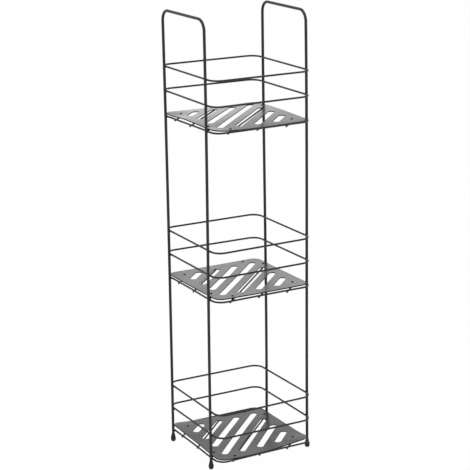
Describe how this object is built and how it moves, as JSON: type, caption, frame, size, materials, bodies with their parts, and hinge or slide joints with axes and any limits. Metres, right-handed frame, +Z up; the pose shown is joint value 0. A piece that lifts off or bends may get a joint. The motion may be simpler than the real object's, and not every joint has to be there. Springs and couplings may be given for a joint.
{
  "type": "bathroom etagere",
  "caption": "Slim free-standing wire etagere: arched side frames carry railed tiers with slotted sheet trays on diagonal support wires, on rubber foot caps.",
  "frame": {"origin": "on the floor, under the middle of the stand", "axes": "+Z up, +X to the right, the front faces -Y"},
  "size_m": [0.208, 0.1986, 0.7992],
  "materials": {
    "frame": "near-black satin powder coat on steel wire",
    "tray": "near-black semi-gloss powder coat on sheet steel",
    "clip": "black moulded nylon",
    "foot": "black rubber"
  },
  "bodies": {
    "root": {"left_side_frame": "frame", "right_side_frame": "frame", "front_left_foot_cap": "foot", "front_right_foot_cap": "foot", "back_left_foot_cap": "foot", "back_right_foot_cap": "foot", "bottom_tier_base_ring": "frame", "bottom_tier_middle_rail": "frame", "bottom_tier_upper_rail": "frame", "bottom_tier_support_wire_1": "frame", "bottom_tier_support_wire_2": "frame", "bottom_tier_support_wire_3": "frame", "bottom_tier_support_wire_4": "frame", "bottom_tier_support_wire_5": "frame", "bottom_tier_support_wire_6": "frame", "bottom_tray": "tray", "bottom_tray_clip_1": "clip", "bottom_tray_clip_2": "clip", "bottom_tray_clip_3": "clip", "bottom_tray_clip_4": "clip", "bottom_tray_clip_5": "clip", "bottom_tray_clip_6": "clip", "middle_tier_base_ring": "frame", "middle_tier_middle_rail": "frame", "middle_tier_upper_rail": "frame", "middle_tier_support_wire_1": "frame", "middle_tier_support_wire_2": "frame", "middle_tier_support_wire_3": "frame", "middle_tier_support_wire_4": "frame", "middle_tier_support_wire_5": "frame", "middle_tier_support_wire_6": "frame", "middle_tray": "tray", "middle_tray_clip_1": "clip", "middle_tray_clip_2": "clip", "middle_tray_clip_3": "clip", "middle_tray_clip_4": "clip", "middle_tray_clip_5": "clip", "middle_tray_clip_6": "clip", "top_tier_base_ring": "frame", "top_tier_middle_rail": "frame", "top_tier_upper_rail": "frame", "top_tier_support_wire_1": "frame", "top_tier_support_wire_2": "frame", "top_tier_support_wire_3": "frame", "top_tier_support_wire_4": "frame", "top_tier_support_wire_5": "frame", "top_tier_support_wire_6": "frame", "top_tray": "tray", "top_tray_clip_1": "clip", "top_tray_clip_2": "clip", "top_tray_clip_3": "clip", "top_tray_clip_4": "clip", "top_tray_clip_5": "clip", "top_tray_clip_6": "clip"}
  },
  "joints": []
}
